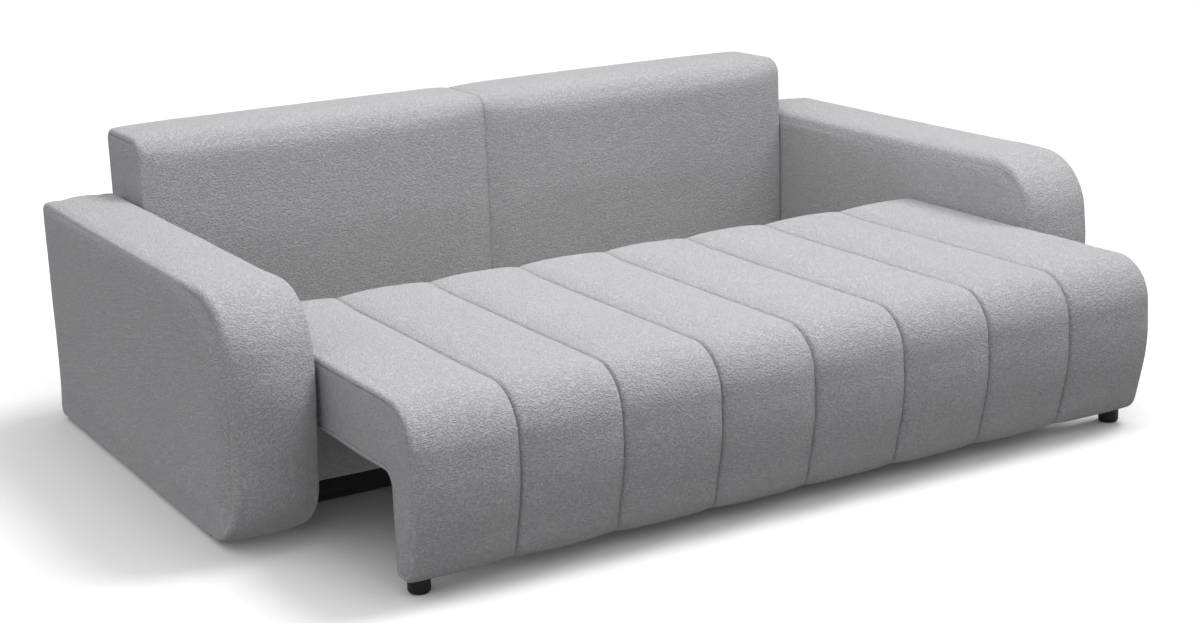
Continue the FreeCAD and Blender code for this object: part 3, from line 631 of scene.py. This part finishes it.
def map_range(nodes, links, value, source, target, **values):
    """Carries a value from one range over to another."""
    node = add(nodes, "ShaderNodeMapRange", **values)
    node.inputs["From Min"].default_value, node.inputs["From Max"].default_value = source
    node.inputs["To Min"].default_value, node.inputs["To Max"].default_value = target
    links.new(value, node.inputs["Value"])
    return node.outputs["Result"]


def tint(nodes, links, value, shader, dark, pale, dark_at=0.0, pale_at=1.0):
    """Gives the shader a base colour between dark and pale."""
    ramp = add(nodes, "ShaderNodeValToRGB")
    low, high = ramp.color_ramp.elements[0], ramp.color_ramp.elements[1]
    low.position, high.position = dark_at, pale_at
    low.color, high.color = (*dark, 1), (*pale, 1)
    links.new(value, ramp.inputs["Fac"])
    links.new(ramp.outputs["Color"], shader.inputs["Base Color"])


def emboss(nodes, links, height, shader, strength, distance):
    """Raises the shader's surface by a height."""
    bump = add(nodes, "ShaderNodeBump", Strength=strength, Distance=distance)
    links.new(height, bump.inputs["Height"])
    links.new(bump.outputs["Normal"], shader.inputs["Normal"])


def boucle_cloth(name, pale, dark):
    """Looped grey cloth: short curled ridges of yarn, fuzz between them, painted shade in the low
    places between the ridges and a faint drift of tone.
    """
    material, nodes, links, shader = new_material(name, pale, 0.95)
    shader.inputs["Sheen Weight"].default_value = 0.10
    shader.inputs["Sheen Roughness"].default_value = 0.5
    shader.inputs["Sheen Tint"].default_value = (1.0, 1.0, 1.0, 1.0)
    shader.inputs["Specular IOR Level"].default_value = 0.10
    place = add(nodes, "ShaderNodeTexCoord").outputs["Object"]
    # the yarn wanders, so the loops are looked up at a place that is pushed about a little
    curl = noise_on(nodes, links, place, Scale=70.0, Detail=1.0, Roughness=0.5)
    wander = add(nodes, "ShaderNodeVectorMath", operation="MULTIPLY_ADD")
    wander.inputs[1].default_value = (0.008, 0.008, 0.008)
    links.new(curl["Color"], wander.inputs[0])
    links.new(place, wander.inputs[2])
    yarn = noise_on(
        nodes, links, wander.outputs[0], Scale=140.0, Detail=1.8, Roughness=0.55, Distortion=0.35
    )
    # folding the noise about its middle leaves thin winding ridges
    centred = maths(nodes, links, "SUBTRACT", yarn["Fac"], 0.5)
    folded = maths(nodes, links, "ABSOLUTE", centred)
    ridge = map_range(
        nodes, links, folded, (0.0, 0.16), (1.0, 0.0), interpolation_type="SMOOTHSTEP"
    )
    fuzz = noise_on(nodes, links, place, Scale=260.0, Detail=2.0, Roughness=0.6)
    height = maths(nodes, links, "MULTIPLY_ADD", fuzz["Fac"], 0.45, ridge)
    emboss(nodes, links, height, shader, 0.9, 0.0021)
    # colour: painted shade, darker in the low places between the yarn ridges, with a real slow random
    # drift of tone over the cloth
    drift = noise_on(nodes, links, place, Scale=4.0, Detail=3.0, Roughness=0.55)
    tone = maths(nodes, links, "MULTIPLY_ADD", drift["Fac"], 0.5, height)
    gap_shade_and_drift = maths(nodes, links, "MULTIPLY", tone, 0.62)
    tint(nodes, links, gap_shade_and_drift, shader, dark, pale, 0.30, 0.95)
    return material


def woven_black_cloth(name, colour):
    """Thin black cloth with a fine crossed weave, used as painted shade on the rear board of the
    base.
    """
    material, nodes, links, shader = new_material(name, colour, 0.85)
    place = add(nodes, "ShaderNodeTexCoord").outputs["Object"]
    waves = []
    for direction in ("X", "Y"):
        wave = add(
            nodes, "ShaderNodeTexWave", Scale=220.0, Distortion=0.6, bands_direction=direction
        )
        links.new(place, wave.inputs["Vector"])
        waves.append(wave.outputs["Fac"])
    weave = maths(nodes, links, "MULTIPLY", *waves)
    emboss(nodes, links, weave, shader, 0.4, 0.0004)
    dark, pale = [c * 0.6 for c in colour], [c * 1.6 for c in colour]
    tint(nodes, links, weave, shader, dark, pale)
    return material


def sawn_wood(name, pale, dark, grain=(3.0, 60.0, 60.0), roughness=0.62):
    """Wood whose grain runs along the sofa, with darker late-wood lines."""
    material, nodes, links, shader = new_material(name, pale, roughness)
    place = add(nodes, "ShaderNodeTexCoord").outputs["Object"]
    stretch = add(nodes, "ShaderNodeMapping")
    stretch.inputs["Scale"].default_value = grain
    links.new(place, stretch.inputs["Vector"])
    along = stretch.outputs["Vector"]
    lines = noise_on(
        nodes, links, along, Scale=1.0, Detail=5.0, Roughness=0.6, Distortion=0.8
    )["Fac"]
    tint(nodes, links, lines, shader, dark, pale, 0.32, 0.68)
    rough = map_range(nodes, links, lines, (0.0, 1.0), (roughness + 0.12, roughness - 0.10))
    links.new(rough, shader.inputs["Roughness"])
    emboss(nodes, links, lines, shader, 0.25, 0.0006)
    return material


SCUFF_SPREAD = 0.12           # how far scuffs change the roughness of a moulded surface


def moulded(name, colour, roughness, metallic=0.0, speck=900.0):
    """Plastic, rubber or coated metal: even colour, fine grain in the surface and faint scuffs."""
    material, nodes, links, shader = new_material(name, colour, roughness)
    shader.inputs["Metallic"].default_value = metallic
    place = add(nodes, "ShaderNodeTexCoord").outputs["Object"]
    grain = noise_on(nodes, links, place, Scale=speck, Detail=2.0, Roughness=0.5)["Fac"]
    scuff = noise_on(nodes, links, place, Scale=24.0, Detail=5.0, Roughness=0.65)["Fac"]
    smooth, worn = max(roughness - SCUFF_SPREAD, 0.05), roughness + SCUFF_SPREAD
    rough = map_range(nodes, links, scuff, (0.3, 0.7), (smooth, worn))
    links.new(rough, shader.inputs["Roughness"])
    dark, pale = [c * 0.82 for c in colour], [min(c * 1.15, 1.0) for c in colour]
    tint(nodes, links, scuff, shader, dark, pale, 0.25, 0.75)
    emboss(nodes, links, grain, shader, 0.35, 0.00012)
    return material


boucle = boucle_cloth("grey_boucle", (0.425, 0.425, 0.439), (0.365, 0.365, 0.377))
FINISHES = {
    "upholstery": boucle,
    # painted shade: black woven cloth for the rear board of the base, standing in for the shade under
    # the seat
    "lining": woven_black_cloth("black_cloth_painted_shade", (0.020, 0.020, 0.021)),
    "plinth_black": sawn_wood("black_painted_board", (0.022, 0.022, 0.023), (0.014, 0.014, 0.015)),
    "rubber": moulded("black_rubber", (0.022, 0.022, 0.022), 0.72, speck=600.0),
    "roller_plastic": moulded("nylon", (0.72, 0.71, 0.67), 0.38),
    "black_plastic": moulded("black_plastic", (0.008, 0.008, 0.009), 0.46),
    "steel_sheet": moulded("powder_coated_steel", (0.045, 0.046, 0.049), 0.48, speck=1400.0),
    "zinc_fasteners": moulded("zinc_plate", (0.62, 0.63, 0.65), 0.32, metallic=1.0),
    # painted shade: the plywood is made darker and greyer than bare plywood, standing in for the
    # shade under the seat; its grain lines are its own
    "plywood": sawn_wood("plywood_greyed_as_painted_shade", (0.33, 0.32, 0.31), (0.24, 0.23, 0.22)),
    "timber": sawn_wood("planed_pine", (0.70, 0.54, 0.34), (0.55, 0.37, 0.20), (2.2, 38.0, 38.0)),
}

# black parts close to the floor reflect less of it than plain plastic would
for name in ("black_plastic", "rubber", "plinth_black"):
    shader = FINISHES[name].node_tree.nodes["Principled BSDF"]
    shader.inputs["Specular IOR Level"].default_value = 0.22

# painted shade: the rear board of the base gets black woven cloth instead of its timber, dark to
# stand in for the shade under the seat
PAINTED_SHADE_OVERRIDES = {"base_rear_board": "lining"}

for part in frame["record"]["subparts"]:
    node = frame["nodes"][part["node"]]
    node.data.materials.clear()
    slot = PAINTED_SHADE_OVERRIDES.get(part["node"], part["material_slot"])
    node.data.materials.append(FINISHES[slot])


# Covers: finish, place in the assembly, and what they stand for

ARM_NODES = ("armrest_band_", "armrest_outer_pad_", "armrest_inner_pad_")
COVERS = (
    (seat, "seat_carriage", 0.95, ["seat_cushion"]),
    (back, "backrest", 0.95, ["backrest_cushion"]),
    (panel, "base", 1.0, ["base_front_upholstery"]),
    (arm_left, "base", 0.95, [node + "left" for node in ARM_NODES]),
    (arm_right, "base", 0.95, [node + "right" for node in ARM_NODES]),
)
for cover, body, fill, nodes in COVERS:
    cover.vertex_groups.clear()
    cover.data.materials.clear()
    cover.data.materials.append(boucle)
    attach(cover, body)
    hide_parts(*nodes)


# Studio: pale floor, soft light from above, camera at the photograph's angle

leave_edit_mode()
bpy.ops.object.select_all(action="DESELECT")
bpy.ops.mesh.primitive_plane_add(size=90, location=(0, 0, 0))
floor = bpy.context.object
floor.name = "studio_floor"
paper, _, _, paper_shader = new_material("white_paper", (0.80, 0.80, 0.80), 0.95)
paper_shader.inputs["Specular IOR Level"].default_value = 0.0
floor.data.materials.append(paper)
floor.visible_diffuse = False   # the photographed paper throws hardly any light back at the sofa


def soft_sun(name, strength, angle, direction):
    """A wide, soft light that shines along a direction."""
    bpy.ops.object.light_add(type="SUN", location=(0, 0, 5))
    lamp = bpy.context.object
    lamp.name = name
    lamp.data.energy = strength
    lamp.data.angle = math.radians(angle)
    lamp.rotation_euler = Vector(direction).to_track_quat("-Z", "Y").to_euler()
    return lamp


soft_sun("overhead_softbox", 1.45, 130, (0.26, 0.12, -1.0))
soft_sun("key_from_the_right", 1.6, 20, (-0.62, 0.06, -1.0))

bpy.ops.object.light_add(type="AREA", location=(0.25, -0.75, 2.7))
strip = bpy.context.object
strip.name = "strip_over_the_seat"
strip.data.shape = "RECTANGLE"
strip.data.size = 2.6
strip.data.size_y = 0.8
strip.data.energy = 32.0
strip.rotation_euler = Vector((0.0, 1.3, -2.1)).to_track_quat("-Z", "Y").to_euler()

# white surroundings, dimmer below the horizon
world = bpy.data.worlds.new("studio")
bpy.context.scene.world = world
world.use_nodes = True
nodes, links = world.node_tree.nodes, world.node_tree.links
background = nodes["Background"]
background.inputs["Color"].default_value = (1, 1, 1, 1)
sky = add(nodes, "ShaderNodeTexCoord")
height = add(nodes, "ShaderNodeSeparateXYZ")
links.new(sky.outputs["Generated"], height.inputs[0])
fade = map_range(nodes, links, height.outputs["Z"], (-0.25, 0.25), (0.28, 0.47))
links.new(fade, background.inputs["Strength"])

bpy.ops.object.camera_add()
camera = bpy.context.object
camera.name = "photo_camera"
camera.data.sensor_fit = "HORIZONTAL"
camera.data.sensor_width = 36.0
camera.data.lens = 63.86
camera.data.clip_end = 200.0
look = Vector((0.48119, 0.83712, -0.26015)).normalized()
right = Vector((0.86167, -0.50625, -0.03523)).normalized()
up = right.cross(look).normalized()
camera.matrix_world = Matrix(
    (
        (right.x, up.x, -look.x, -2.6755),
        (right.y, up.y, -look.y, -4.5993),
        (right.z, up.z, -look.z, 1.7036),
        (0, 0, 0, 1),
    )
)
bpy.context.scene.camera = camera
bpy.context.scene.view_settings.view_transform = "Standard"
